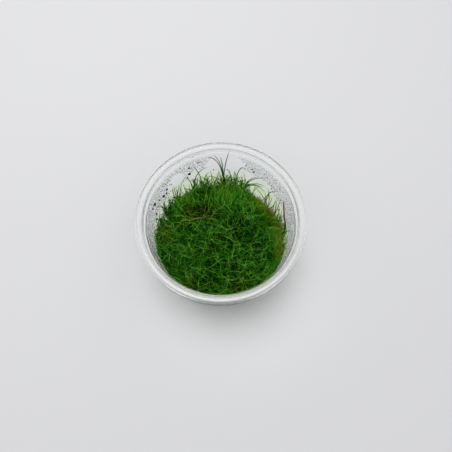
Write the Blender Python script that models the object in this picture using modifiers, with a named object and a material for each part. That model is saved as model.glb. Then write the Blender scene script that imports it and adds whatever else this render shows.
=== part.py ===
"""Dwarf hairgrass growing in an open, clear plastic cup, on a bed of nutrient gel.

The plants fill the cup as one turf of fine blades. Along its back edge stand plantlets with longer
blades, which reach up the wall, and one dead leaf leans on the wall at the right. Sizes are in
metres, +Z is up, and the origin is under the middle of the cup, on the surface that it stands on.
Angles round the cup start at +X and turn towards +Y, its back.
"""

import math
import random

import bmesh
import bpy
from mathutils import Vector, noise

MM = 0.001
GAP = 0.3 * MM  # between pieces that touch
SEED = 11

# The cup, a turned shell of thin clear plastic
CUP_HEIGHT = 55.0 * MM
RIM_RADIUS = 50.0 * MM
BEAD_RADIUS = 47.4 * MM  # outside of the raised bead on the rim
MOUTH_RADIUS = 45.0 * MM
WALL_TOP_RADIUS = 43.3 * MM  # inside, just under the ledge
WALL_FOOT_RADIUS = 39.3 * MM  # inside, where the wall meets the floor
WALL = 0.9 * MM
LEDGE_DROP = 4.6 * MM  # from the top of the bead down to the ledge
FLANGE_DROP = 1.6 * MM  # from the top of the bead down to the flange
SKIRT_DROP = 4.0 * MM  # from the top of the bead down to the edge of the skirt
FOOT_RECESS = 1.2 * MM  # how far the floor is raised inside the foot ring
FOOT_OUTER = 38.8 * MM
FOOT_INNER = 36.4 * MM
FLOOR_FILLET = 2.5 * MM
EDGE_ROUND = 0.6 * MM
CUP_SIDES = 48

# The gel, which the roots grow in
GEL_TOP = 9.0 * MM

# The turf, one mat of blades that runners tie together
TURF_EDGE_HEIGHT = 23.5 * MM
TURF_CROWN_HEIGHT = 29.0 * MM
TURF_FRONT_INSET = 0.8 * MM  # from the wall, where the turf presses on it
TURF_SIDE_INSET = 2.7 * MM  # from the wall, where single plantlets stand behind it
TURF_BACK_INSET = 4.6 * MM  # from the wall, behind which the tallest plantlet stands
TURF_TURN = 6.0  # degrees by which the outline is turned, to leave the dead leaf its place
TURF_LUMP = 1.6 * MM
TURF_LUMP_SPACING = 9.0 * MM
TURF_SIDES = 40
TURF_RINGS = (0.9, 0.76, 0.6, 0.43, 0.25)  # shares of the turf's radius
LOCK_COUNT = 62
LOCK_RADIUS = 1.15 * MM
LOCK_TIP_RADIUS = 0.2 * MM
LOCK_LENGTH = (15.0 * MM, 20.0 * MM)
LOCK_LEAN = (20.0, 45.0)  # degrees from upright
LOCK_DROOP = 52.0  # degrees more at the tip
LOCK_STEPS = 4

# The plantlets that stand up behind the turf
CROWN_RADIUS = 0.85 * MM
CROWN_HEIGHT = 4.0 * MM
BLADE_RADIUS = 0.30 * MM
BLADE_TIP_RADIUS = 0.09 * MM
BLADE_STEPS = 7
# Each plantlet has its place: an angle, and how far in from the wall in millimetres. Each of its
# blades then has its tip, as an angle, a distance in from the wall's slope and a height in
# millimetres, and how far the blade arches up above its tip.
PLANTLETS = {
    "plantlet_tall_back": (90, 2.2, ((101.5, 1.0, 51.0, 0), (97, 0.9, 53.0, -8), (91, 0.9, 50.0, -12),
                                     (84, 0.2, 54.3, -16), (71, 3.9, 27.5, 8))),
    "plantlet_back_left": (107, 1.5, ((113.6, 0.7, 45.0, -10), (100.5, 1.7, 33.0, -4))),
    "plantlet_left_of_back": (116, 1.5, ((102.2, 2.4, 41.5, -5), (117, 1.0, 31.0, -4), (122, 0.7, 41.0, -6))),
    "plantlet_back_right": (75, 1.6, ((75.5, 2.2, 37.0, -6), (71, 1.1, 44.5, -6), (80.5, 2.0, 36.0, -6))),
    "plantlet_arching": (66, 1.5, ((48.4, 0.7, 45.0, 3), (51, 1.0, 37.5, 2), (48.5, 1.7, 27.0, 13),
                                   (62, 2.2, 38.0, -4))),
    "plantlet_right_of_back": (41, 1.4, ((33, 0.8, 41.0, -4), (38, 0.8, 34.0, -4), (44, 0.7, 30.5, -2))),
    "plantlet_right": (26, 1.4, ((29.5, 0.7, 39.5, -6), (24.5, 0.8, 33.0, -6))),
    "plantlet_left": (137, 1.4, ((136, 0.7, 38.5, -8), (131, 0.8, 33.5, -6), (143, 0.8, 31.0, -4))),
    "plantlet_far_left": (152, 1.4, ((160, 0.7, 42.0, 0), (163, 0.8, 36.0, -2))),
}

# The dead leaf, a flat strip that rises along the wall
# Its ends: an angle, then a distance in from the wall and a height, in millimetres
DEAD_LEAF_FOOT = (-1.0, 1.0, 9.5)
DEAD_LEAF_TIP = (24.5, 0.7, 42.0)
DEAD_LEAF_BEND = 1.6  # above one, it turns round the wall mostly near its tip
DEAD_LEAF_WIDTH = 1.3 * MM
DEAD_LEAF_THICKNESS = 0.4 * MM
DEAD_LEAF_STEPS = 8


def clear_scene():
    for obj in list(bpy.data.objects):
        bpy.data.objects.remove(obj)


def new_collection(name, parent):
    collection = bpy.data.collections.new(name)
    parent.children.link(collection)
    return collection


def finish_of(name, colour, roughness, clear=0.0, ior=1.45):
    """A Principled BSDF with this colour, see-through where clear is above nothing."""
    material = bpy.data.materials.new(name)
    material.use_nodes = True
    surface = material.node_tree.nodes["Principled BSDF"]
    surface.inputs["Base Color"].default_value = (*colour, 1.0)
    surface.inputs["Roughness"].default_value = roughness
    surface.inputs["Metallic"].default_value = 0.0
    surface.inputs["Transmission Weight"].default_value = clear
    surface.inputs["IOR"].default_value = ior
    return material


def smooth_step(value):
    """Nothing below nought, one above one, and a soft rise between."""
    share = min(1.0, max(0.0, value))
    return share * share * (3.0 - 2.0 * share)


def wall_radius(height):
    """The inside of the cup's sloping wall at this height, carried on above the ledge."""
    foot = FOOT_RECESS + WALL + FLOOR_FILLET
    slope = (WALL_TOP_RADIUS - WALL_FOOT_RADIUS) / (CUP_HEIGHT - LEDGE_DROP - foot)
    return WALL_FOOT_RADIUS + slope * max(0.0, height - foot)


def by_the_wall(angle, inset, height):
    """The point at an angle in degrees round the cup, this far in from the wall, at a height."""
    turn = math.radians(angle)
    reach = wall_radius(height) - inset
    return Vector((reach * math.cos(turn), reach * math.sin(turn), height))


def arc(centre, radius, start, end, steps):
    """Profile points round a centre, from one angle in degrees to another."""
    turns = [math.radians(start + (end - start) * i / steps) for i in range(steps + 1)]
    return [(centre[0] + radius * math.cos(t), centre[1] + radius * math.sin(t)) for t in turns]


def turned(name, profile, collection, material):
    """A solid turned about Z from profile points that run up its inside and down its outside."""
    mesh = bpy.data.meshes.new(name)
    mesh.from_pydata([(r, 0.0, z) for r, z in profile], [(i, i + 1) for i in range(len(profile) - 1)], [])
    obj = bpy.data.objects.new(name, mesh)
    collection.objects.link(obj)
    screw = obj.modifiers.new("Turn", "SCREW")
    screw.axis = "Z"
    screw.steps = CUP_SIDES
    screw.render_steps = CUP_SIDES
    screw.use_merge_vertices = True
    screw.merge_threshold = 0.00001
    screw.use_smooth_shade = True
    mesh.materials.append(material)
    return obj


def make_cup(collection, material):
    """The cup: floor, sloping wall, ledge, lip, bead, flange and skirt, on a foot ring."""
    floor = FOOT_RECESS + WALL
    flange = CUP_HEIGHT - FLANGE_DROP
    ledge = CUP_HEIGHT - LEDGE_DROP
    inside = (
        [(0.0, floor)]
        + arc((WALL_FOOT_RADIUS - FLOOR_FILLET, floor + FLOOR_FILLET), FLOOR_FILLET, -90, 0, 3)
        + [(WALL_TOP_RADIUS, ledge), (MOUTH_RADIUS - EDGE_ROUND / 2, ledge)]
        + [(MOUTH_RADIUS, ledge + EDGE_ROUND / 2)]
    )
    rim = (
        arc((MOUTH_RADIUS + EDGE_ROUND, CUP_HEIGHT - EDGE_ROUND), EDGE_ROUND, 180, 90, 2)
        + arc((BEAD_RADIUS - EDGE_ROUND, CUP_HEIGHT - EDGE_ROUND), EDGE_ROUND, 90, 0, 2)
        + [(BEAD_RADIUS, flange)]
        + arc((RIM_RADIUS - EDGE_ROUND, flange - EDGE_ROUND), EDGE_ROUND, 90, 0, 2)
        + [(RIM_RADIUS, CUP_HEIGHT - SKIRT_DROP), (RIM_RADIUS - WALL, CUP_HEIGHT - SKIRT_DROP)]
        + [(RIM_RADIUS - WALL, flange - WALL)]
    )
    outside = [
        (MOUTH_RADIUS + WALL, flange - WALL),
        (MOUTH_RADIUS + WALL, ledge - WALL / 2),
        (WALL_TOP_RADIUS + WALL, ledge - WALL),
        (WALL_FOOT_RADIUS + WALL, floor + FLOOR_FILLET),
        (FOOT_OUTER, 0.0),
        (FOOT_INNER, 0.0),
        (FOOT_INNER - FOOT_RECESS, FOOT_RECESS),
        (0.0, FOOT_RECESS),
    ]
    return turned("cup", inside + rim + outside, collection, material)


def make_gel(collection, material):
    """The gel: it fills the foot of the cup, a gap away from the floor and the wall."""
    floor = FOOT_RECESS + WALL + GAP
    fillet = FLOOR_FILLET
    foot = arc((WALL_FOOT_RADIUS - GAP - fillet, floor + fillet), fillet, 0, -90, 3)
    profile = [(0.0, GEL_TOP), (wall_radius(GEL_TOP) - GAP, GEL_TOP)] + foot + [(0.0, floor)]
    return turned("nutrient_gel", profile, collection, material)


def tube(name, points, radii):
    """A tapering tube along the points, as a closed mesh object."""
    curve = bpy.data.curves.new(name, "CURVE")
    curve.dimensions = "3D"
    curve.bevel_depth = MM
    curve.bevel_resolution = 0
    curve.use_fill_caps = True
    spline = curve.splines.new("POLY")
    spline.points.add(len(points) - 1)
    for place, point, radius in zip(spline.points, points, radii, strict=True):
        place.co = (*point, 1.0)
        place.radius = radius / MM
    shaper = bpy.data.objects.new(name + " line", curve)
    bpy.context.scene.collection.objects.link(shaper)
    mesh = bpy.data.meshes.new_from_object(shaper.evaluated_get(bpy.context.evaluated_depsgraph_get()))
    mesh.name = name
    welded = bmesh.new()
    welded.from_mesh(mesh)
    bmesh.ops.remove_doubles(welded, verts=welded.verts, dist=0.01 * MM)
    bmesh.ops.recalc_face_normals(welded, faces=welded.faces)
    welded.to_mesh(mesh)
    welded.free()
    obj = bpy.data.objects.new(name, mesh)
    obj.matrix_world = shaper.matrix_world
    bpy.data.objects.remove(shaper)
    bpy.data.curves.remove(curve)
    return obj


def grown_together(body, shoots, collection, guides):
    """Joins the shoots to the body with a union, and keeps them as hidden guides."""
    group = new_collection(body.name + " shoots", guides)
    for shoot in shoots:
        group.objects.link(shoot)
        shoot.hide_render = True
        shoot.display_type = "WIRE"
    collection.objects.link(body)
    union = body.modifiers.new("Grown together", "BOOLEAN")
    union.operation = "UNION"
    union.operand_type = "COLLECTION"
    union.collection = group
    union.solver = "EXACT"
    return body


def turf_radius(angle, height):
    """The turf's outline: close to the wall in front, and set in from it behind."""
    backward = math.sin(angle + math.radians(TURF_TURN))
    inset = TURF_FRONT_INSET + (TURF_SIDE_INSET - TURF_FRONT_INSET) * smooth_step(2.0 * backward + 0.5)
    inset += (TURF_BACK_INSET - TURF_SIDE_INSET) * max(0.0, backward) ** 14
    return wall_radius(height) - inset


def turf_height(x, y, share):
    """The top of the turf: a low dome with lumps, at a share of the turf's radius."""
    dome = TURF_EDGE_HEIGHT + (TURF_CROWN_HEIGHT - TURF_EDGE_HEIGHT) * (1.0 - share**3)
    lump = noise.noise(Vector((x, y, 0.0)) / TURF_LUMP_SPACING)
    return dome + TURF_LUMP * lump * (1.0 - 0.5 * share)


def make_turf_body():
    """The closed mass of the turf, without its locks."""
    shape = bmesh.new()
    bmesh.ops.create_cone(shape, cap_ends=True, segments=TURF_SIDES, radius1=1.0, radius2=1.0, depth=1.0)
    top = max(shape.faces, key=lambda face: face.calc_center_median().z)
    reached = 1.0
    for ring in TURF_RINGS:
        step = (reached - ring) * math.cos(math.pi / TURF_SIDES)
        bmesh.ops.inset_region(shape, faces=[top], thickness=step)
        reached = ring
    bmesh.ops.poke(shape, faces=[top])
    upright = [edge for edge in shape.edges if abs(edge.verts[0].co.z - edge.verts[1].co.z) > 0.5]
    bmesh.ops.subdivide_edges(shape, edges=upright, cuts=1)
    foot = GEL_TOP + GAP
    for vert in shape.verts:
        share = min(1.0, math.hypot(vert.co.x, vert.co.y))
        angle = math.atan2(vert.co.y, vert.co.x)
        level = vert.co.z + 0.5
        reach = share * turf_radius(angle, foot)
        x, y = reach * math.cos(angle), reach * math.sin(angle)
        height = foot + (turf_height(x, y, share) - foot) * level
        swell = turf_radius(angle, height) / turf_radius(angle, foot)
        vert.co = (x * swell, y * swell, height)
    mesh = bpy.data.meshes.new("turf")
    shape.to_mesh(mesh)
    shape.free()
    return bpy.data.objects.new("turf", mesh)


def lock_path(chance, index):
    """A lock's line: it leaves the turf at a spiral place, and leans and droops one way."""
    golden = math.pi * (3.0 - math.sqrt(5.0))
    share = math.sqrt((index + 0.5) / LOCK_COUNT) * 0.92
    turn = index * golden
    reach = share * turf_radius(turn, TURF_EDGE_HEIGHT)
    x, y = reach * math.cos(turn), reach * math.sin(turn)
    point = Vector((x, y, turf_height(x, y, share) - 2.0 * MM))
    near_wall = share > 0.5
    way = turn + math.pi * chance.uniform(0.58, 1.42) if near_wall else chance.uniform(-math.pi, math.pi)
    lean = chance.uniform(*LOCK_LEAN)
    step = chance.uniform(*LOCK_LENGTH) / LOCK_STEPS
    points = [point]
    for i in range(LOCK_STEPS):
        tilt = math.radians(lean + LOCK_DROOP * i / (LOCK_STEPS - 1))
        flat = step * math.sin(tilt)
        point = point + Vector((flat * math.cos(way), flat * math.sin(way), step * math.cos(tilt)))
        points.append(point)
    return points


def make_turf(collection, guides, material):
    """The turf: a lumpy mass of blades with pointed locks grown from it."""
    chance = random.Random(SEED)
    taper = [1.0 - (i / LOCK_STEPS) ** 2 for i in range(LOCK_STEPS + 1)]
    radii = [LOCK_TIP_RADIUS + (LOCK_RADIUS - LOCK_TIP_RADIUS) * share for share in taper]
    locks = [tube(f"turf_lock_{i + 1:02d}", lock_path(chance, i), radii) for i in range(LOCK_COUNT)]
    body = make_turf_body()
    body.data.materials.append(material)
    return grown_together(body, locks, collection, guides)


def bow(start, bend, end, share):
    """The value at a share of the way along a bow from start to end, drawn towards bend."""
    return start * (1 - share) ** 2 + bend * 2 * share * (1 - share) + end * share**2


def make_blade(name, foot, tip, arch):
    """A blade that rises from its foot, then leans over to its tip along the wall."""
    points, radii = [], []
    for i in range(BLADE_STEPS + 1):
        share = i / BLADE_STEPS
        angle = bow(foot[0], foot[0], tip[0], share)
        inset = bow(foot[1], foot[1], tip[1], share)
        points.append(by_the_wall(angle, inset * MM, bow(foot[2], tip[2] + arch, tip[2], share) * MM))
        radii.append(BLADE_RADIUS + (BLADE_TIP_RADIUS - BLADE_RADIUS) * share**2)
    return tube(name, points, radii)


def make_plantlet(name, place, tips, collection, guides, material):
    """A plantlet: a short crown on the gel, and the blades that grow from it."""
    foot_height = GEL_TOP + GAP
    centre = by_the_wall(place[0], place[1] * MM, foot_height)
    blades = []
    for i, (angle, inset, height, arch) in enumerate(tips):
        turn = math.tau * i / len(tips)
        foot = (
            place[0] + 0.5 * math.cos(turn),
            place[1] + 0.35 * math.sin(turn),
            foot_height / MM + 1.5,
        )
        blades.append(make_blade(f"{name}_blade_{i + 1}", foot, (angle, inset, height), arch))
    shape = bmesh.new()
    bmesh.ops.create_cone(shape, cap_ends=True, segments=8, radius1=CROWN_RADIUS, radius2=CROWN_RADIUS * 0.7,
                          depth=CROWN_HEIGHT)
    bmesh.ops.translate(shape, verts=shape.verts, vec=centre + Vector((0.0, 0.0, CROWN_HEIGHT / 2)))
    mesh = bpy.data.meshes.new(name)
    shape.to_mesh(mesh)
    shape.free()
    mesh.materials.append(material)
    return grown_together(bpy.data.objects.new(name, mesh), blades, collection, guides)


def make_dead_leaf(collection, material):
    """The dead leaf: a flat strip that rises along the wall."""
    places = []
    for i in range(DEAD_LEAF_STEPS + 1):
        share = i / DEAD_LEAF_STEPS
        shares = (share**DEAD_LEAF_BEND, share, share)
        ends = zip(DEAD_LEAF_FOOT, DEAD_LEAF_TIP, shares, strict=True)
        angle, inset, height = (foot + (tip - foot) * part for foot, tip, part in ends)
        places.append(by_the_wall(angle, inset * MM, height * MM))
    shape = bmesh.new()
    before = None
    for i, middle in enumerate(places):
        along = places[min(i + 1, DEAD_LEAF_STEPS)] - places[max(i - 1, 0)]
        outward = Vector((middle.x, middle.y, 0.0)).normalized()
        across = along.cross(outward).normalized()
        half = DEAD_LEAF_WIDTH / 2 * (1.0 - 0.75 * (i / DEAD_LEAF_STEPS) ** 3)
        pair = [shape.verts.new(middle + across * half), shape.verts.new(middle - across * half)]
        if before:
            shape.faces.new((before[0], before[1], pair[1], pair[0]))
        before = pair
    mesh = bpy.data.meshes.new("dead_leaf")
    shape.to_mesh(mesh)
    shape.free()
    obj = bpy.data.objects.new("dead_leaf", mesh)
    collection.objects.link(obj)
    wall = obj.modifiers.new("Thickness", "SOLIDIFY")
    wall.thickness = DEAD_LEAF_THICKNESS
    wall.offset = 0.0
    mesh.materials.append(material)
    return obj


def main():
    clear_scene()
    part = new_collection("Dwarf hairgrass in a cup", bpy.context.scene.collection)
    guides = new_collection("Shoots", bpy.context.scene.collection)
    plastic = finish_of("Clear polypropylene", (0.93, 0.94, 0.94), 0.08, clear=0.9, ior=1.49)
    gel = finish_of("Nutrient gel", (0.86, 0.84, 0.72), 0.15, clear=0.7, ior=1.34)
    grass = finish_of("Hairgrass blades", (0.06, 0.22, 0.02), 0.45)
    dead = finish_of("Dead leaf", (0.10, 0.035, 0.015), 0.7)
    make_cup(part, plastic)
    make_gel(part, gel)
    make_turf(part, guides, grass)
    for name, (angle, inset, tips) in PLANTLETS.items():
        make_plantlet(name, (angle, inset), tips, part, guides, grass)
    make_dead_leaf(part, dead)


main()
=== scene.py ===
"""Dwarf hairgrass in an open, clear cup: its finished pieces, materials, light and camera.

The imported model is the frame: each piece here stands where its solid does. Lengths are in metres,
+Z is up, and angles round the cup start at +X and turn towards +Y, its back.
"""

import math
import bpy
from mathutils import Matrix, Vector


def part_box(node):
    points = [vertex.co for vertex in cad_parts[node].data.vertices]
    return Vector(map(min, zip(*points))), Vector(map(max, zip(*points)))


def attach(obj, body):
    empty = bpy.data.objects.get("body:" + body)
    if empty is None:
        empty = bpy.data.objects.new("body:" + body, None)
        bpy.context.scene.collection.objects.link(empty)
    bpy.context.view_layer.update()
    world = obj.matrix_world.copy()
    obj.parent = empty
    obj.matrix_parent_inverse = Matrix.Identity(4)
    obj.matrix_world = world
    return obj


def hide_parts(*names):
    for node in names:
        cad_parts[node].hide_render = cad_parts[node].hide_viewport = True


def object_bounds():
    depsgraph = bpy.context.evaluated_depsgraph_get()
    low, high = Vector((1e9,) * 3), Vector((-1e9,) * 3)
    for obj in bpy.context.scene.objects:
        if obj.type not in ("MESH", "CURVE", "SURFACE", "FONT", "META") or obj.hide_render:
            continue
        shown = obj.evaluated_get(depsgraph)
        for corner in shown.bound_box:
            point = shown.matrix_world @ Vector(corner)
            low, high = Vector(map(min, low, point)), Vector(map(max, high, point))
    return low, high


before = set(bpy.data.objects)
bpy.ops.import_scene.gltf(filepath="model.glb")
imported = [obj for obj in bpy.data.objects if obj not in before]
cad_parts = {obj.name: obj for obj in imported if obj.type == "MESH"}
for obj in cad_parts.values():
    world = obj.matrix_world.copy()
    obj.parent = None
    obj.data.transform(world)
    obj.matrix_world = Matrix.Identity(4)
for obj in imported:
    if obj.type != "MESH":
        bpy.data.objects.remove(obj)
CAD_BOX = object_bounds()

from types import SimpleNamespace

import bmesh
import bpy
import numpy as np
from bpy.props import FloatProperty, FloatVectorProperty, IntProperty, PointerProperty
from mathutils import Vector, noise

bl_info = {
    "name": "Dwarf hairgrass in a clear cup",
    "version": (1, 0, 0),
    "blender": (4, 5, 0),
    "location": "3D View > Sidebar > Hairgrass",
    "description": "Makes a cup of dwarf hairgrass piece by piece, with its materials, light and camera",
    "category": "Add Mesh",
}

MM = 0.001
UP = np.array((0.0, 0.0, 1.0))
CUP_TOP = CAD_BOX[1][2]
GEL_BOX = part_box("nutrient_gel")
GEL_TOP = GEL_BOX[1][2]
# The cup's heights in millimetres: its floor, where the sloping wall starts and how far it rises, and how
# far the ledge lies under the top
FLOOR_TOP, WALL_START, WALL_RISE, LEDGE_DROP = 2.1, 4.6, 45.8, 4.6


def linear(hex_colour):
    """An sRGB hex colour such as 3C7814 as linear red, green, blue and a full alpha."""
    shares = [int(hex_colour[i : i + 2], 16) / 255 for i in (0, 2, 4)]
    return (*(s / 12.92 if s <= 0.04045 else ((s + 0.055) / 1.055) ** 2.4 for s in shares), 1.0)


def length(name, default, description):
    """A setting that is a length."""
    return FloatProperty(name=name, description=description, default=default, unit="LENGTH", precision=5)


def colour(name, hex_colour, description):
    """A setting that is a colour."""
    return FloatVectorProperty(name=name, description=description, default=linear(hex_colour), size=4,
                               subtype="COLOR", min=0.0, max=1.0)


class CupSettings(bpy.types.PropertyGroup):
    """The cup's sizes, the colours of its plastic, and the painted shade, highlight, reflection and light on
    it.
    """

    height: length("Height", CUP_TOP, "From the foot ring to the top of the bead")
    rim_radius: length("Rim radius", CAD_BOX[1][0], "Outside of the flange")
    bead_radius: length("Bead radius", 47.4 * MM, "Outside of the raised bead on the rim")
    mouth_radius: length("Mouth radius", 45.0 * MM, "Inside of the lip")
    wall_top: length("Wall radius at the top", 43.3 * MM, "Inside of the wall, under the ledge")
    wall_foot: length("Wall radius at the foot", 39.3 * MM, "Inside of the wall, at the floor")
    wall: length("Wall thickness", 0.9 * MM, "Thickness of the moulded wall")
    steps: IntProperty(name="Steps", description="Steps round the cup", default=144, min=24)
    plastic: colour("Plastic", "FEFFFF", "Colour of the plastic")
    milk: colour("Milk", "F4F4F4", "Colour of the thick plastic of the rim")
    # Painted shade: fine lines at the lip, the rim's outer edge in front, the ledge's bend and the lip
    # behind, where the plastic turns light away
    lip_painted_shade: colour("Edge line", "FCFCFC", "Colour of the lip's sharp inner edge")
    outer_painted_shade: colour("Outer line", "B4B8B8", "Colour of the rim's outer edge in front")
    ledge_painted_shade: colour("Ledge line", "E8EAE6", "Colour of the ledge's bend, which turns light away")
    mouth_painted_shade: colour("Mouth line", "C8CCC8", "Colour of the lip's inner edge behind")
    # A painted reflection of the grass in the ledge's bend in front
    painted_grass_reflection: colour("Mirrored grass", "D4EAB4", "Colour of the grass in the bend of the wall in front")
    # Partly a wet green film and partly painted light: the glow of light through the wet grass behind the
    # wall
    wet_tint_and_painted_light: colour("Wet tint and painted light", "F2FFDC", "Tint of the wall where wet grass lies on it")


class DropSettings(bpy.types.PropertyGroup):
    """The drops of condensed water on the wall."""

    pitch: length("Pitch", 0.95 * MM, "From one fine drop to the next")
    # Painted refraction: the drops' colours stand for the dark grass that each one shows
    fine: colour("Fine drops", "566050", "What the fine drops show of the grass")
    large: colour("Large drops", "3A4632", "What the large drops show of the grass")


class GelSettings(bpy.types.PropertyGroup):
    """The gel and the roots that show in it."""

    roots: IntProperty(name="Roots", description="Roots that show in the gel", default=260, min=0)
    gel: colour("Gel", "E9E4C8", "Colour of the nutrient gel")
    root: colour("Root", "E6E2CC", "Colour of the roots")


class GrassSettings(bpy.types.PropertyGroup):
    """The mat's size and the colours of its blades."""

    tufts: IntProperty(name="Tufts", description="Tufts of blades in the mat", default=2450, min=10)
    blade_radius: length("Blade radius", 0.17 * MM, "Half the width of a blade at its foot")
    edge_height: length("Edge height", 26.0 * MM, "Top of the mat at its edge")
    crown_height: length("Crown height", 30.0 * MM, "Top of the mat in its middle")
    # Deep, bright and pale are the same blades painted in shade, in light, and in the brightest light on top
    deep: colour("Deep green", "011B00", "Darkest of the green blades")
    bright: colour("Bright green", "359A0C", "Blades that stand in the light")
    pale: colour("Pale green", "78B840", "The few lightest blades, which lie on top")
    old: colour("Old blades", "888412", "Blades that have begun to turn")
    dead: colour("Dead blades", "3E2610", "Blades that have died")


class StageSettings(bpy.types.PropertyGroup):
    """The floor and the light."""

    floor: colour("Floor", "E9E9EB", "Colour of the paper under the cup")
    lamp: FloatProperty(name="Lamp", description="Power of the soft box", default=1.4, min=0.0, unit="POWER")
    sky: FloatProperty(name="Room light", description="Strength of the light all round", default=0.68,
                       min=0.0)


# Shared tools


def add_node(tree, kind, inputs=None, **settings):
    """A new node with its settings; an input takes a value, a socket, or a node whose result it links.

    Where sockets share a name, the one that is in use with these settings is meant.
    """
    node = tree.nodes.new("ShaderNode" + kind)
    for name, value in settings.items():
        setattr(node, name, value)
    for name, value in (inputs or {}).items():
        socket = node.inputs[name]
        if isinstance(name, str):
            socket = next(each for each in node.inputs if each.name == name and each.enabled)
        if isinstance(value, bpy.types.Node):
            value = next(each for each in value.outputs if each.enabled)
        if isinstance(value, bpy.types.NodeSocket):
            tree.links.new(value, socket)
        else:
            socket.default_value = value
    return node


def empty_tree(owner):
    """The nodes of a new material or world, with none in them yet."""
    owner.use_nodes = True
    owner.node_tree.nodes.clear()
    return owner.node_tree


def new_material(name):
    """A material with an empty tree, and the place on the object, which its patterns follow."""
    material = bpy.data.materials.new(name)
    tree = empty_tree(material)
    return material, tree, add_node(tree, "TexCoord").outputs["Object"]


def shares_and_painted_light_of(tree):
    """The three shares that a mesh keeps for each of its points."""
    kept = add_node(tree, "Attribute", attribute_name="shares_and_painted_light")
    return add_node(tree, "SeparateColor", {"Color": kept}).outputs


def show_skin(tree, tone, roughness, grain=None, relief=0.0, strength=1.0, gloss=0.5):
    """Ends a solid material: its colour, roughness and gloss, and a relief that follows its grain."""
    skin = {"Base Color": tone, "Roughness": roughness, "Specular IOR Level": gloss}
    if grain is not None:
        skin["Normal"] = add_node(tree, "Bump", {"Height": grain, "Strength": strength, "Distance": relief})
    add_node(tree, "OutputMaterial", {"Surface": add_node(tree, "BsdfPrincipled", skin)})


def throw_thin_shadow(tree, body, shadow):
    """Ends a clear material: the body as it is seen, and only a thin tint of light in its shadow."""
    thin = add_node(tree, "BsdfTransparent", {"Color": shadow})
    ray = add_node(tree, "LightPath").outputs["Is Shadow Ray"]
    both = add_node(tree, "MixShader", {0: ray, 1: body, 2: thin})
    add_node(tree, "OutputMaterial", {"Surface": both})


def clear_material(name, tint, roughness, ior, clear, shadow, bump_size, bump_height):
    """Something that light passes through, with a fine uneven surface, whose shadow is a thin one."""
    material, tree, place = new_material(name)
    wave = add_node(tree, "TexNoise", {"Vector": place, "Scale": 1 / bump_size, "Detail": 1.0})
    bump = add_node(tree, "Bump", {"Height": wave, "Strength": 1.0, "Distance": bump_height})
    haze = add_node(tree, "MapRange", {"Value": wave, "To Min": roughness * 0.7, "To Max": roughness * 1.3})
    body = add_node(tree, "BsdfPrincipled", {"Base Color": tint, "Roughness": haze, "IOR": ior,
                                             "Transmission Weight": clear, "Normal": bump})
    throw_thin_shadow(tree, body, shadow)
    return material


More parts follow.
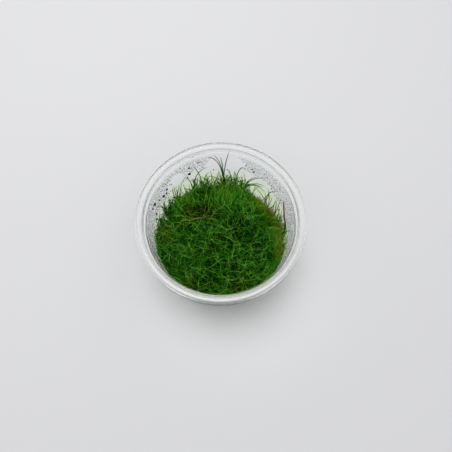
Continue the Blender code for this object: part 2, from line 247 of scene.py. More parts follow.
def cup_material(cup):
    """Polypropylene, injection moulded thin: clear, with some milk in its thick rim, and a soft gloss.

    Over the gel the wall is tinted green, partly a wet film and partly painted light, a thin haze lies on the
    wall above it, and extra milk in front is painted light. A painted highlight lies on the bead in front;
    the lip, the ledge and the rim's edge, which turn light away, are drawn as fine lines of painted shade;
    and the grass shows as a painted reflection in the ledge's bend in front.
    """
    material, tree, place = new_material("Clear polypropylene")
    split = add_node(tree, "SeparateXYZ", {"Vector": place})
    y, height = split.outputs["Y"], split.outputs["Z"]
    flat = add_node(tree, "VectorMath", {0: place, 1: (1.0, 1.0, 0.0)}, operation="MULTIPLY")
    radius = add_node(tree, "VectorMath", {0: flat}, operation="LENGTH")
    wave = add_node(tree, "TexNoise", {"Vector": place, "Scale": 1 / (9 * MM), "Detail": 1.0})
    bump = add_node(tree, "Bump", {"Height": wave, "Distance": 0.01 * MM})
    blur = add_node(tree, "TexNoise", {"Vector": place, "Scale": 1 / (4 * MM), "Detail": 2.0})
    uneven = add_node(tree, "Math", {0: blur, 1: 18 * MM, 2: height}, operation="MULTIPLY_ADD")
    at = {}
    # Ramps over the cup: of what, between which two places in millimetres, and the value at each
    for name, value, low, high, first, last in (
        # front, behind, foremost and backmost place the painted light, shade, highlight and reflection on the
        # cup
        ("front", y, -42, -14, 1.0, 0.35),
        ("behind", y, -42, -14, 0.0, 0.65),
        ("foremost wall", y, -36, -20, 1.0, 0.0),
        ("foremost rim", y, -49, -44, 1.0, 0.0),
        ("backmost", y, 22, 42, 0.0, 1.0),
        ("rim", height, 53, 54, 0.0, 1.0),
        ("over gel", height, 10, 14, 0.0, 1.0),
        ("haze", height, 24, 34, 0.2, 1.0),
        ("haze below ledge", height, 49, 51, 0.13, 0.05),
        ("wet", uneven, 30, 44, 1.0, 0.0),
        ("fogged", uneven, 38, 48, 0.04, 0.2),
    ):
        at[name] = add_node(tree, "MapRange", {"Value": value, "From Min": low * MM, "From Max": high * MM,
                                               "To Min": first, "To Max": last})
    # Narrow bands on it: of what, its middle, half its width and its soft edge in millimetres
    top, edge, bead, mouth = np.array((cup.height, cup.rim_radius, cup.bead_radius, cup.mouth_radius)) / MM
    for name, value, middle, half, soft in (
        ("top", height, top, 0.35, 0.3),
        ("ledge", height, 50.6, 0.8, 0.5),
        ("edge", radius, edge - 0.1, 0.3, 0.4),
        ("outer painted shade", radius, edge - 0.3, 0.35, 0.4),
        ("bead", radius, bead + 0.2, 0.3, 1.0),
        ("lip", radius, mouth + 0.15, 0.15, 0.25),
        ("lip behind", radius, mouth + 0.15, 0.15, 0.15),
        ("lip's milk", radius, mouth + 0.1, 0.2, 0.3),
        ("ledge painted shade", radius, 44.2, 0.15, 0.25),
        ("ledge bend", radius, 44.0, 1.0, 0.6),
    ):
        off = add_node(tree, "Math", {0: value, 1: middle * MM}, operation="SUBTRACT")
        apart = add_node(tree, "Math", {0: off}, operation="ABSOLUTE")
        at[name] = add_node(tree, "MapRange", {"Value": apart, "From Min": half * MM, "To Min": 1.0,
                                               "From Max": (half + soft) * MM, "To Max": 0.0})

    def meeting(share, places):
        """The share, and only where all of these places meet."""
        for name in places:
            share = add_node(tree, "Math", {0: share, 1: at[name]}, operation="MULTIPLY")
        return share

    # From the wall's colour each layer mixes in the next, where its places meet; most of them are painted
    # light, shade, highlight or reflection
    tint = cup.plastic
    for shade, *places in (
        # Partly a wet green film and partly painted light through the grass
        (cup.wet_tint_and_painted_light, "wet", "over gel"),
        (cup.milk, "rim"),
        # A painted highlight: white on the bead in front
        (linear("FFFFFF"), "bead", "front", "rim"),
        # Painted shade: the lines at the lip, the lip behind and the ledge, where the plastic turns light
        # away
        (cup.lip_painted_shade, "lip", "rim"),
        (cup.mouth_painted_shade, "lip behind", "top", "backmost"),
        (cup.ledge_painted_shade, "ledge painted shade", "ledge"),
        # A painted reflection of the grass in the ledge's bend in front
        (cup.painted_grass_reflection, "ledge bend", "ledge", "foremost wall"),
        # Painted shade on the rim's outer edge in front
        (cup.outer_painted_shade, "outer painted shade", "foremost rim"),
    ):
        tint = add_node(tree, "Mix", {"Factor": meeting(1.0, places), "A": tint, "B": shade},
                        data_type="RGBA")
    # How cloudy it is: a little in the wall, more in front, and most in the rim's edge and the bead; the
    # extra milk in front, on the bead in front and on the rim's edge behind is painted light
    cloud = 0.0
    for strength, *places in (
        (1.0, "front", "haze below ledge", "haze"),
        (0.02, "rim"),
        (0.5, "bead", "front"),
        (0.45, "edge", "behind"),
        (0.06, "lip's milk"),
    ):
        cloud = add_node(tree, "Math", {0: cloud, 1: meeting(strength, places)}, operation="ADD",
                         use_clamp=True)
    clear = add_node(tree, "Math", {0: 1.0, 1: cloud}, operation="SUBTRACT")
    # The real plastic's IOR is near 1.5: it is set low, so that the thin wall stays as light as it is
    body = add_node(tree, "BsdfPrincipled", {"Base Color": tint, "Roughness": at["fogged"], "IOR": 1.1,
                                             "Transmission Weight": clear, "Normal": bump})
    throw_thin_shadow(tree, body, linear("FBFCFC"))
    return material


def in_scene(name, data):
    """An object in the scene, with its data named like it."""
    data.name = name
    thing = bpy.data.objects.new(name, data)
    bpy.context.scene.collection.objects.link(thing)
    return thing


def finish_piece(name, mesh, material, nodes=()):
    """Makes the mesh a piece that rides on the cup's body and stands for these nodes of the CAD."""
    piece = in_scene(name, mesh)
    mesh.materials.append(material)
    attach(piece, "root")
    if nodes:
        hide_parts(*nodes)


def smooth_step(value):
    """Nothing below nought, one above one, and a soft rise between."""
    share = np.clip(value, 0.0, 1.0)
    return share * share * (3.0 - 2.0 * share)


def arc(centre, radius, start, end, steps):
    """Profile points round a centre, from one angle in degrees to another."""
    turns = [math.radians(start + (end - start) * i / steps) for i in range(steps + 1)]
    return [(centre[0] + radius * math.cos(t), centre[1] + radius * math.sin(t)) for t in turns]


def wall_radius(height):
    """The inside of the cup's sloping wall at this height, carried on above the ledge."""
    cup = bpy.context.scene.hairgrass_cup
    slope = (cup.wall_top - cup.wall_foot) / WALL_RISE
    return cup.wall_foot + slope * np.maximum(0.0, height / MM - WALL_START)


def mesh_from(shape, sharp=math.tau):
    """The finished shape as a mesh, its faces outwards, smooth but at edges that bend more than sharp."""
    bmesh.ops.recalc_face_normals(shape, faces=shape.faces)
    for face in shape.faces:
        face.smooth = True
    for edge in shape.edges:
        edge.smooth = edge.calc_face_angle(0.0) < sharp
    mesh = bpy.data.meshes.new("piece")
    shape.to_mesh(mesh)
    shape.free()
    return mesh


def turned(profile, steps):
    """A smooth closed mesh, turned about Z from profile points in metres."""
    shape = bmesh.new()
    points = [shape.verts.new((r, 0.0, z)) for r, z in profile]
    lines = [shape.edges.new(pair) for pair in zip(points, points[1:])]
    bmesh.ops.spin(shape, geom=points + lines, cent=(0, 0, 0), axis=(0, 0, 1), angle=math.tau, steps=steps,
                   use_merge=True)
    bmesh.ops.remove_doubles(shape, verts=shape.verts, dist=0.001 * MM)
    return mesh_from(shape, math.radians(32))


# Blades, roots and drops: one small shape each, joined by the thousand from arrays


def blade_shape(segments):
    """One closed, three-sided blade: each vertex's ring and turn, the faces, and their atlas places."""
    shape = bmesh.new()
    bmesh.ops.create_cone(shape, cap_ends=True, segments=3, radius1=1.0, radius2=1.0, depth=1.0)
    upright = [edge for edge in shape.edges if abs(edge.verts[0].co.z - edge.verts[1].co.z) > 0.5]
    bmesh.ops.subdivide_edges(shape, edges=upright, cuts=segments - 1)
    shape.verts.index_update()
    ring = np.array([round((vert.co.z + 0.5) * segments) for vert in shape.verts])
    turn = np.array([math.atan2(vert.co.y, vert.co.x) % math.tau for vert in shape.verts])
    side = np.round(turn / (math.tau / 3) - min(turn) / (math.tau / 3)).astype(int) % 3
    faces, places = [], []
    for face in shape.faces:
        index = [vert.index for vert in face.verts]
        cap = len({ring[i] for i in index}) == 1
        wraps = not cap and {0, 2} <= {side[i] for i in index}
        faces.append(index)
        for i in index:
            u = (side[i] + 3 * (wraps and side[i] == 0)) / 3
            v = ring[i] / segments
            if cap:
                v += (0.06 if v > 0.5 else -0.06) * (side[i] == 1)
            places.append((u, v))
    shape.free()
    return ring, turn, faces, np.array(places)


def joined(shape_vertices, faces, places, shares_and_painted_light=None):
    """Many copies of one small shape as one mesh, each with its own cell of the map OFBake."""
    copies, count, _ = shape_vertices.shape
    mesh = bpy.data.meshes.new("piece")
    loops = np.concatenate([np.array(face) for face in faces])
    sizes = np.array([len(face) for face in faces])
    mesh.vertices.add(copies * count)
    mesh.vertices.foreach_set("co", shape_vertices.astype(np.float32).ravel())
    mesh.loops.add(copies * len(loops))
    offsets = np.arange(copies)[:, None] * count
    mesh.loops.foreach_set("vertex_index", (loops[None, :] + offsets).astype(np.int32).ravel())
    mesh.polygons.add(copies * len(faces))
    starts = np.concatenate(([0], np.cumsum(sizes)[:-1]))
    starts = starts[None, :] + np.arange(copies)[:, None] * len(loops)
    mesh.polygons.foreach_set("loop_start", starts.astype(np.int32).ravel())
    mesh.polygons.foreach_set("use_smooth", np.ones(copies * len(faces), dtype=bool))
    mesh.update(calc_edges=True)
    # Each copy's faces fill the middle of a cell of their own
    cells, margin = math.ceil(math.sqrt(copies)), 0.12
    cell = np.stack((np.arange(copies) % cells, np.arange(copies) // cells), axis=1)
    spots = (cell[:, None, :] + margin + (1 - 2 * margin) * places[None, :, :]) / cells
    atlas = mesh.uv_layers.new(name="OFBake")
    atlas.data.foreach_set("uv", spots.astype(np.float32).ravel())
    if shares_and_painted_light is not None:
        store = mesh.attributes.new("shares_and_painted_light", "FLOAT_COLOR", "POINT")
        store.data.foreach_set("color", shares_and_painted_light.astype(np.float32).ravel())
    mesh.validate()
    return mesh


def bent_blades(lines, radii, age, light, foot_light=0.0):
    """Blades along lines of points, as one mesh; age and light are each blade's share of colour, light being
    painted light.
    """
    copies, rings, _ = lines.shape
    ring, turn, faces, places = blade_shape(rings - 1)
    along = np.gradient(lines, axis=1)
    along /= np.linalg.norm(along, axis=2, keepdims=True)
    start = np.cross(along[:, 0], UP + 0.001)
    normal = start / np.linalg.norm(start, axis=1, keepdims=True)
    normals = np.empty_like(lines)
    for i in range(rings):
        normal = normal - np.sum(normal * along[:, i], axis=1, keepdims=True) * along[:, i]
        normal /= np.linalg.norm(normal, axis=1, keepdims=True)
        normals[:, i] = normal
    across = np.cross(along, normals)
    reach = radii[:, ring, None]
    vertices = lines[:, ring] + reach * (
        np.cos(turn)[None, :, None] * normals[:, ring] + np.sin(turn)[None, :, None] * across[:, ring]
    )
    shares_and_painted_light = np.ones((copies, len(ring), 4))
    shares_and_painted_light[:, :, 0] = age[:, None]
    shares_and_painted_light[:, :, 1] = light[:, None]
    # Painted shade along each blade: darker towards its foot, from foot_light at the foot up to none at the
    # tip
    shares_and_painted_light[:, :, 2] = (foot_light + (1 - foot_light) * ring / (rings - 1))[None, :]
    return joined(vertices, faces, places, shares_and_painted_light.reshape(-1, 4))


def arcs(chance, azimuth, lean, bend, curl, size, segments):
    """Lines that leave the origin leaning, and bend over and curl along their length."""
    middle = (np.arange(segments) + 0.5) / segments
    power = chance.uniform(0.9, 1.9, len(azimuth))[:, None]
    tilt = lean[:, None] + (bend - lean)[:, None] * middle[None, :] ** power
    wave = chance.uniform(0, math.tau, len(azimuth))[:, None] + middle[None, :] * math.tau
    way = azimuth[:, None] + curl[:, None] * middle[None, :] ** 1.4 + 0.12 * np.sin(wave)
    step = np.stack((np.sin(tilt) * np.cos(way), np.sin(tilt) * np.sin(way), np.cos(tilt)), axis=2)
    step *= size[:, None, None] / segments
    return np.concatenate((np.zeros((len(azimuth), 1, 3)), np.cumsum(step, axis=1)), axis=1)


def drawn_in(lines, limit, soft):
    """Draws the lines in softly where they would reach further out than the limit at that place."""
    reach = np.hypot(lines[..., 0], lines[..., 1])
    over = np.maximum(0.0, reach - (limit - soft))
    held = np.where(over > 0, limit - soft * np.exp(-over / soft), reach)
    lines[..., :2] *= (held / np.maximum(reach, 1e-9))[..., None]
    return lines


def inside_wall(lines, gap):
    """Draws the lines in where they would come nearer to the cup's wall than the gap."""
    return drawn_in(lines, wall_radius(lines[..., 2]) - gap, 1.2 * MM)


# The mat of grass

BLADE_SEGMENTS = 7
STEM_SEGMENTS = 3
LONG_BLADE_POINTS = 11  # along the blades that are drawn one by one
MAT_LEVEL = 26 * MM  # near the mat's top, where its outline is measured
# The shares of the mat's blades that are painted as catching the light fully, and at least in part
LIT, PARTLY_LIT = 0.14, 0.4
# The shares of the tufts and of the blades at the mat's edge that stand clear of it
TUFTS_APART, STRAYS = 0.07, 0.17
# Patches of the mat: x, y and radius in millimetres, how far the blades there have turned, how much lighter
# they are, partly their own tone and partly painted light and shade, and the share of them that is gone
PATCHES = (
    (-18, 13, 5.5, 0.4, -0.35, 0.4), (-10.5, 14.5, 5.5, 0.4, -0.35, 0.4), (-3, 14, 4.5, 0.3, -0.3, 0.3),
    (32, 13, 5, 0.64, 0.7, 0.2), (35.5, 4, 5, 0.5, 0.7, 0), (36.5, -4, 4.5, 0.45, 0.7, 0),
    (36.5, -12, 4.5, 0.45, 0.7, 0), (26, 20, 5.5, 0.5, 0.7, 0.1), (-20, -30.6, 4, 0.42, 0.2, 0),
    (36, -9, 4, 0.35, 0.1, 0), (-33, 1, 7, 0.25, 0.2, 0), (3, 26, 3, 0.35, 0, 0.2), (12, -35, 4, 0.35, 0, 0),
    (-22, 23, 5, 0.25, 0.35, 0), (27.7, -20.8, 7, 0, 0.25, 0), (10, -4, 9, 0, -0.2, 0.15),
    (-8, -15, 8, 0.1, -0.15, 0.2), (3, 30, 12, 0.22, 0.65, 0), (-30, 12, 6, 0.1, 0.25, 0),
    (20, 24, 7, 0.1, 0.2, 0), (34, 0, 10, 0.05, 0.18, 0), (0, -24, 12, 0, -0.12, 0.1),
)
# Dry blades that lie on the mat: start x and y, end x and y, height and arch in millimetres
DRY_BLADES = (
    (-25, 7.3, -12, 9.6, 31.6, 1.2), (-18, 9.2, -2.4, 10.1, 32, 0.9), (2.6, 0.7, 10.2, 3.2, 32.8, 0.7),
    (-17, 13, -9, 15.8, 29, 0.8), (-14, 17.2, -6.5, 12.4, 29.4, 0.8), (-21, 15, -16, 10.5, 29.2, 0.6),
    (-5, 15, -1.5, 10.8, 30, 0.7), (27, 14, 31.5, 8.4, 28.6, 0.8), (29, 6, 33.4, 10.6, 28, 0.7),
    (31.8, 2.5, 35, -2.5, 27.6, 0.6), (-20, -27, -14.5, -29.4, 28.6, 0.8), (-31, 2, -26, 5, 29.5, 0.7),
    (-13, -9, -9.5, -13, 32, 0.6), (18, -12.5, 23.5, -10.5, 31.6, 0.7), (4, -20.5, 10.5, -19, 31.4, 0.6),
    (2, -31, 8.5, -33, 28.4, 0.7),
)
# The mat's outline, set in from the wall behind and at the sides: angle in degrees and radius in mm
OUTLINE = ((-58, 43), (-50, 41), (-40, 40), (-24, 39.2), (-12, 38.2), (4, 38), (14, 37.4), (24, 36),
           (34, 34.6), (48, 33.6), (64, 34.2), (76, 34.4), (90, 33.4), (104, 33.8), (120, 35), (130, 34.8),
           (144, 38.2), (158, 38), (170, 39), (184, 40.4), (196, 41.2), (206, 43))


def turf_radius(angle, height):
    """The mat's outline: close to the wall in front, and set in from it behind."""
    turn = (np.degrees(angle) + 90.0) % 360.0 - 90.0
    outline = np.interp(turn, [a for a, _ in OUTLINE], [r for _, r in OUTLINE]) * MM
    return np.minimum(wall_radius(height) - 0.8 * MM, outline)


def lumps_at(x, y, size):
    """An even unevenness over the mat, from about -1 to 1, with lumps of this size."""
    return np.array([noise.noise(Vector((a, b, 0.3)) / size) for a, b in zip(x, y)])


def mat_top(x, y, share):
    """The height of the mat's top at places in it, with the lumps between its tufts."""
    grass = bpy.context.scene.hairgrass_grass
    lumps = lumps_at(x, y, 8.0 * MM)
    return grass.edge_height + (grass.crown_height - grass.edge_height) * (1 - share**3) + 2.6 * MM * lumps


def patchwork(x, y):
    """How far the blades at these places have turned, how much lighter they are, partly as painted light, and
    the share gone.
    """
    age, light, gone = np.zeros((3, len(x)))
    for px, py, size, turned_by, lighter, missing in PATCHES:
        near = np.exp(-(((x / MM - px) ** 2 + (y / MM - py) ** 2) / size**2))
        age = np.maximum(age, near * turned_by)
        light += near * lighter
        gone = np.maximum(gone, near * missing)
    return age, light, gone


def lie_of_grass(x, y, chance):
    """Which way each tuft leans: together with its neighbours, backwards at the back."""
    swirl = np.array([noise.noise(Vector((a, b, 5.0)) / (13.0 * MM)) for a, b in zip(x, y)])
    turn = swirl * 2.4 * math.pi + chance.normal(0.0, 0.5, len(x))
    back = smooth_step((y / MM + 2.0) / 24.0)
    return turn * (1 - 0.85 * back) + math.radians(93) * 0.85 * back


def plant_tufts(chance):
    """The tufts of the mat, as arrays that hold each tuft's values once for every blade in it."""
    count = bpy.context.scene.hairgrass_grass.tufts
    number = np.arange(count)
    angle = number * math.pi * (3.0 - math.sqrt(5.0)) + chance.normal(0.0, 0.03, count)
    share = np.sqrt((number + chance.uniform(0, 1, count)) / count)
    outline, wall = turf_radius(angle, MAT_LEVEL), wall_radius(22 * MM)
    reach = share * (outline - 0.8 * MM)
    # Single tufts stand apart from the mat's edge, out by the wall, except in front
    open_side = np.exp(-(((np.degrees(angle) % 360 - 36) / 20) ** 2))
    apart = (share > 0.8) & (np.sin(angle) > -0.6)
    apart &= chance.uniform(0, 1, count) < TUFTS_APART - 0.06 * open_side
    reach = np.where(apart, chance.uniform(outline, np.maximum(outline, wall - 1.2 * MM)), reach)
    x, y = reach * np.cos(angle), reach * np.sin(angle)
    clump = lumps_at(x, y, 2.8 * MM)
    top = mat_top(x, y, share) + 1.6 * MM * clump
    way = np.where(apart, angle, lie_of_grass(x, y, chance))
    blades = chance.integers(6, 10, count)
    light = chance.normal(0.0, 0.06, count)
    tufts = {"angle": angle, "share": share, "apart": apart, "x": x, "y": y, "clump": clump, "top": top,
             "way": way, "light": light, "edge": lumps_at(x, y, 3.2 * MM)}
    return SimpleNamespace(**{name: np.repeat(values, blades) for name, values in tufts.items()})


def colour_blades(chance, tuft, upper, crest, kind, stray):
    """Each blade's age and painted light, and whether it is there, by its place, its tuft and its kind."""
    count = len(kind)
    # A blade belongs to the patch over which its upper part lies
    age, lighter, gone = patchwork(upper[:, 0], upper[:, 1])
    age = np.clip(age + chance.normal(0.0, 0.1, count), 0.0, 1.0)
    # Painted light and shade: most blades are painted in shade, some as catching the light, and a few on top
    # bright
    some, shaded = chance.uniform(0.25, 0.6, count), chance.uniform(-0.15, 0.1, count)
    light = np.where((kind > LIT) & (kind < PARTLY_LIT), some, shaded)
    light = np.where(kind < LIT, chance.uniform(0.72, 1.15, count), light)
    light = np.where(stray, chance.uniform(0.0, 0.45, count), light)
    # The mat's edge is a little yellower than its middle, and a little paler as painted light
    rim = smooth_step((tuft.share - 0.75) / 0.2)
    age = np.clip(age + 0.08 * rim, 0.0, 1.0)
    # Painted light: blades in higher clumps and blades that stand higher are painted lighter, and so are the
    # lighter patches
    light += tuft.light + 0.12 * tuft.clump + lighter + 0.1 * rim
    light += 0.1 * (crest - tuft.top) / (1.7 * MM)
    return age, np.clip(light, 0.0, 1.0), chance.uniform(0, 1, count) > gone


def grow_mat(chance):
    """The mat's blades: their lines without stems, and each blade's radius, age, painted light and taper."""
    tuft = plant_tufts(chance)
    count = len(tuft.x)
    x = tuft.x + chance.normal(0, 0.5 * MM, count)
    y = tuft.y + chance.normal(0, 0.5 * MM, count)
    back = smooth_step((y / MM - 5.0) / 25.0)
    azimuth = tuft.way + chance.normal(0.0, 0.8, count) * (1.0 + 0.5 * tuft.apart - 0.35 * back)
    lean = np.radians(chance.uniform(4, 40, count))
    bend = np.radians(chance.uniform(50, 118, count) * (1 - back) + chance.uniform(5, 50, count) * back)
    curl = chance.normal(0.0, 1.15, count) * (1.0 - 0.6 * back)
    size = chance.uniform(10, 24, count) * MM
    kind = chance.uniform(0, 1, count)
    lit = kind < LIT
    # At the mat's edge some blades stand clear of the rest, except in front
    open_side = np.exp(-(((np.degrees(tuft.angle) % 360 - 45) / 24) ** 2))
    stray = (tuft.share > 0.86) & (np.sin(tuft.angle) > -0.7)
    stray &= chance.uniform(0, 1, count) < STRAYS - 0.07 * open_side
    stray |= tuft.apart
    bend = np.where(stray, np.radians(chance.uniform(-5, 60, count)), bend)
    crest = tuft.top + (chance.normal(-0.3, 1.4, count) + 1.6 * lit - 1.5 * back) * MM
    crest += stray * chance.uniform(-3.0, 6.5, count) * (1.0 + 0.6 * back) * MM
    lines = arcs(chance, azimuth, lean, bend, curl, size, BLADE_SEGMENTS)
    foot = crest - lines[:, :, 2].max(axis=1)
    lines += np.stack((x, y, foot), axis=1)[:, None, :]
    lines[:, :, 2] = np.maximum(lines[:, :, 2], GEL_TOP + 0.6 * MM)
    limit = turf_radius(np.arctan2(lines[..., 1], lines[..., 0]), MAT_LEVEL)
    limit = limit + chance.normal(0, 0.6 * MM, (count, 1)) + 3.2 * MM * tuft.edge[:, None]
    lines = drawn_in(lines, np.where(stray[:, None], 1.0, limit), 0.5 * MM)
    lines = inside_wall(lines, 0.45 * MM)
    radius = bpy.context.scene.hairgrass_grass.blade_radius * chance.uniform(0.85, 1.15, count)
    radius *= 1.0 + 0.1 * back + 0.55 * stray + 0.2 * lit
    age, light, there = colour_blades(chance, tuft, lines[:, BLADE_SEGMENTS - 2], crest, kind, stray)
    taper = np.where(stray, 4.0, 2.2)
    return lines[there], radius[there], age[there], light[there], taper[there]


def tapering(radius, rings, stem=0, power=2.2):
    """A blade's radius at each ring: even, then drawn out to its point."""
    share = np.clip((np.arange(rings) - stem) / (rings - 1 - stem), 0.0, 1.0)
    return radius[:, None] * (1.0 - 0.78 * share[None, :] ** np.reshape(power, (-1, 1)))


def with_stems(lines, chance):
    """The lines with a stem below each, from its tuft on the gel."""
    foot = lines[:, 0]
    ground = foot.copy()
    ground[:, 2] = GEL_TOP + 0.35 * MM
    ground[:, :2] += chance.normal(0.0, 0.5 * MM, (len(lines), 2))
    lean = lines[:, 1] - foot
    share = (np.arange(STEM_SEGMENTS) / STEM_SEGMENTS)[None, :, None]
    stem = ground[:, None, :] * (1 - share) + foot[:, None, :] * share
    stem[:, 1:, :2] -= 0.35 * (lean[:, None, :2] * share[:, 1:])
    return inside_wall(np.concatenate((stem, lines), axis=1), 0.5 * MM)


def packed_stems_in_painted_shade():
    """Old stems and leaf ends, packed and wet: nearly black green, partly their own colour and partly painted
    shade, with paler ends.
    """
    material, tree, place = new_material("Packed grass stems in painted shade")
    fibre = add_node(tree, "TexNoise", {"Vector": place, "Scale": 1 / (0.9 * MM), "Detail": 3.0})
    tone = add_node(tree, "Mix", {"Factor": fibre, "A": linear("031602"), "B": linear("123409")},
                    data_type="RGBA")
    show_skin(tree, tone, roughness=0.7, grain=fibre, relief=0.6 * MM)
    return material


def make_core():
    """The heart of the mat, packed too close to see between its stems, a dark mass of painted shade."""
    shape = bmesh.new()
    bmesh.ops.create_icosphere(shape, subdivisions=6, radius=1.0)
    floor, inset = GEL_TOP + 0.3 * MM, 3.2 * MM
    # Its top in the middle, how far that sinks towards the edge, and how uneven it is
    crown, sink, uneven = 20.5 * MM, 2.2 * MM, 1.5 * MM
    for vert in shape.verts:
        x, y, z = vert.co
        angle = math.atan2(y, x)
        flat = min(1.0, math.hypot(x, y))
        share = flat**0.6
        reach = share * float(turf_radius(angle, 18 * MM) - inset)
        place = Vector((reach * math.cos(angle), reach * math.sin(angle), 0.0))
        lump = noise.noise(place / (6.0 * MM)) + 0.6 * noise.noise(place / (2.2 * MM) + Vector((9, 9, z)))
        level = crown - sink * share**4 + uneven * lump
        height = floor + (level - floor) * smooth_step((z + 1.0) / 1.25 if z < 0.25 else 1.0)
        side = noise.noise(Vector((math.cos(angle) * 9, math.sin(angle) * 9, height / (3 * MM))))
        vert.co = (place.x * (1 + 0.03 * side), place.y * (1 + 0.03 * side), float(height))
    finish_piece("turf_core", mesh_from(shape), packed_stems_in_painted_shade(), ("turf",))


def grass_material(name, deep, bright):
    """Living grass: a waxy skin over thin green flesh, which gives a soft gloss and an uneven green.

    The colour, as painted light and shade, runs from the tuft's shade to the lit tip and from shaded blades
    to lit ones, and turns olive and brown with the blade's age.
    """
    grass = bpy.context.scene.hairgrass_grass
    material, tree, place = new_material(name)
    age, light, along = shares_and_painted_light_of(tree)
    # Cells of the leaf are too fine to show, so the mottling is drawn 0.9 mm wide
    mottle = add_node(tree, "TexNoise", {"Vector": place, "Scale": 1 / (0.9 * MM), "Detail": 2.0})
    # Whole tufts are a little bluer or yellower than their neighbours
    hue = add_node(tree, "TexNoise", {"Vector": place, "Scale": 1 / (6 * MM), "Detail": 1.0})
    shift = add_node(tree, "MapRange", {"Value": mottle, "From Min": 0.3, "From Max": 0.7, "To Min": -0.25,
                                        "To Max": 0.25})
    level = add_node(tree, "Math", {0: light, 1: shift}, operation="ADD", use_clamp=True)
    at = {}
    # Ramps: of what, between which two of its values, and the value at each
    for name, value, low, high, first, last in (
        # bright and pale paint light: lit blades, and painted highlights on the few on top
        ("bright", level, 0.0, 0.8, 0.0, 1.0),
        ("pale", level, 0.85, 1.0, 0.0, 1.0),
        ("yellow", hue, 0.38, 0.62, 0.0, 1.0),
        ("old", age, 0.15, 0.6, 0.0, 1.0),
        ("dead", age, 0.6, 0.95, 0.0, 1.0),
        # Painted shade: each blade darker towards its foot, in the shade of the mat
        ("out of the shade", along, 0.25, 0.85, 0.04, 1.2),
        ("roughness", mottle, 0.0, 1.0, 0.34, 0.52),
    ):
        at[name] = add_node(tree, "MapRange", {"Value": value, "From Min": low, "From Max": high,
                                               "To Min": first, "To Max": last})
    cast = add_node(tree, "Mix", {"Factor": at["yellow"], "A": (0.72, 0.95, 1.0, 1.0),
                                  "B": (1.05, 1.0, 0.45, 1.0)}, data_type="RGBA")
    aged = add_node(tree, "Mix", {"Factor": at["bright"], "A": linear("201C07"), "B": grass.old},
                    data_type="RGBA")
    tone = deep
    for factor, shade, blend in (
        (at["bright"], bright, "MIX"),
        (1.0, cast, "MULTIPLY"),
        (at["pale"], grass.pale, "MIX"),
        (at["old"], aged, "MIX"),
        (at["dead"], grass.dead, "MIX"),
        (1.0, at["out of the shade"], "MULTIPLY"),
    ):
        tone = add_node(tree, "Mix", {"Factor": factor, "A": tone, "B": shade}, data_type="RGBA",
                        blend_type=blend)
    show_skin(tree, tone, at["roughness"], grain=mottle, relief=0.05 * MM, strength=0.6, gloss=0.06)
    return material


class HAIRGRASS_OT_cup(bpy.types.Operator):
    """Make the clear cup"""

    bl_idname = "hairgrass.cup"
    bl_label = "Cup"

    def execute(self, context):
        cup = context.scene.hairgrass_cup
        floor, ledge = FLOOR_TOP * MM, cup.height - LEDGE_DROP * MM
        flange, skirt = cup.height - 0.35 * MM, cup.height - 3.7 * MM
        fillet, edge, bend = 2.5 * MM, 0.2 * MM, 0.3 * MM
        ring_outer, ring_inner, recess = 38.8 * MM, 36.4 * MM, 1.2 * MM
        # The wall keeps its thickness round the ledge's two bends, so they share their middles
        upper = (cup.wall_top + cup.wall + bend, ledge - cup.wall - bend)
        lower = (cup.mouth_radius - bend, ledge + bend)
        profile = (
            [(0.0, floor)]
            + arc((cup.wall_foot - fillet, floor + fillet), fillet, -90, -5, 6)
            + arc(upper, cup.wall + bend, 178, 92, 6)
            + arc(lower, bend, -88, 0, 4)
            + arc((cup.mouth_radius + edge, cup.height - edge), edge, 180, 90, 3)
            + arc((cup.bead_radius - 3 * edge, cup.height - 3 * edge), 3 * edge, 90, 25, 6)
            + arc((cup.rim_radius - 3 * edge, flange - 3 * edge), 3 * edge, 90, 0, 6)
            + arc((cup.rim_radius - cup.wall / 2, skirt), cup.wall / 2, 0, -180, 6)
            + [(r, flange - cup.wall) for r in (cup.rim_radius - cup.wall, cup.mouth_radius + cup.wall)]
            + arc(lower, cup.wall + bend, 0, -88, 6)
            + arc(upper, bend, 92, 178, 4)
            + [(cup.wall_foot + cup.wall, floor + fillet), (ring_outer, 0.0), (ring_inner, 0.0)]
            + [(ring_inner - recess, recess), (0.0, recess)]
        )
        finish_piece("clear_cup", turned(profile, cup.steps), cup_material(cup), ("cup",))
        return {"FINISHED"}


# Where the mist lies on the wall: from angle, to angle, from height, to height in mm, and its share
MIST = ((98, 135, 37, 50, 0.85), (118, 172, 30, 50, 0.85), (172, 205, 22, 49, 0.8), (205, 228, 18, 46, 0.5),
        (98, 124, 50.8, 53, 0.5), (84, 98, 36, 50, 0.2), (38, 74, 36, 50, 0.85), (0, 38, 30, 50, 0.8),
        (-12, 0, 24, 48, 0.5), (-30, -12, 28, 46, 0.25))
# Where the wall has none: angle, height and radius in mm
BARE = ((84, 46.5, 8), (76, 42, 6), (131, 38, 7), (97, 40, 4))
DEGREE = 0.74  # how many millimetres one degree is, round the wall
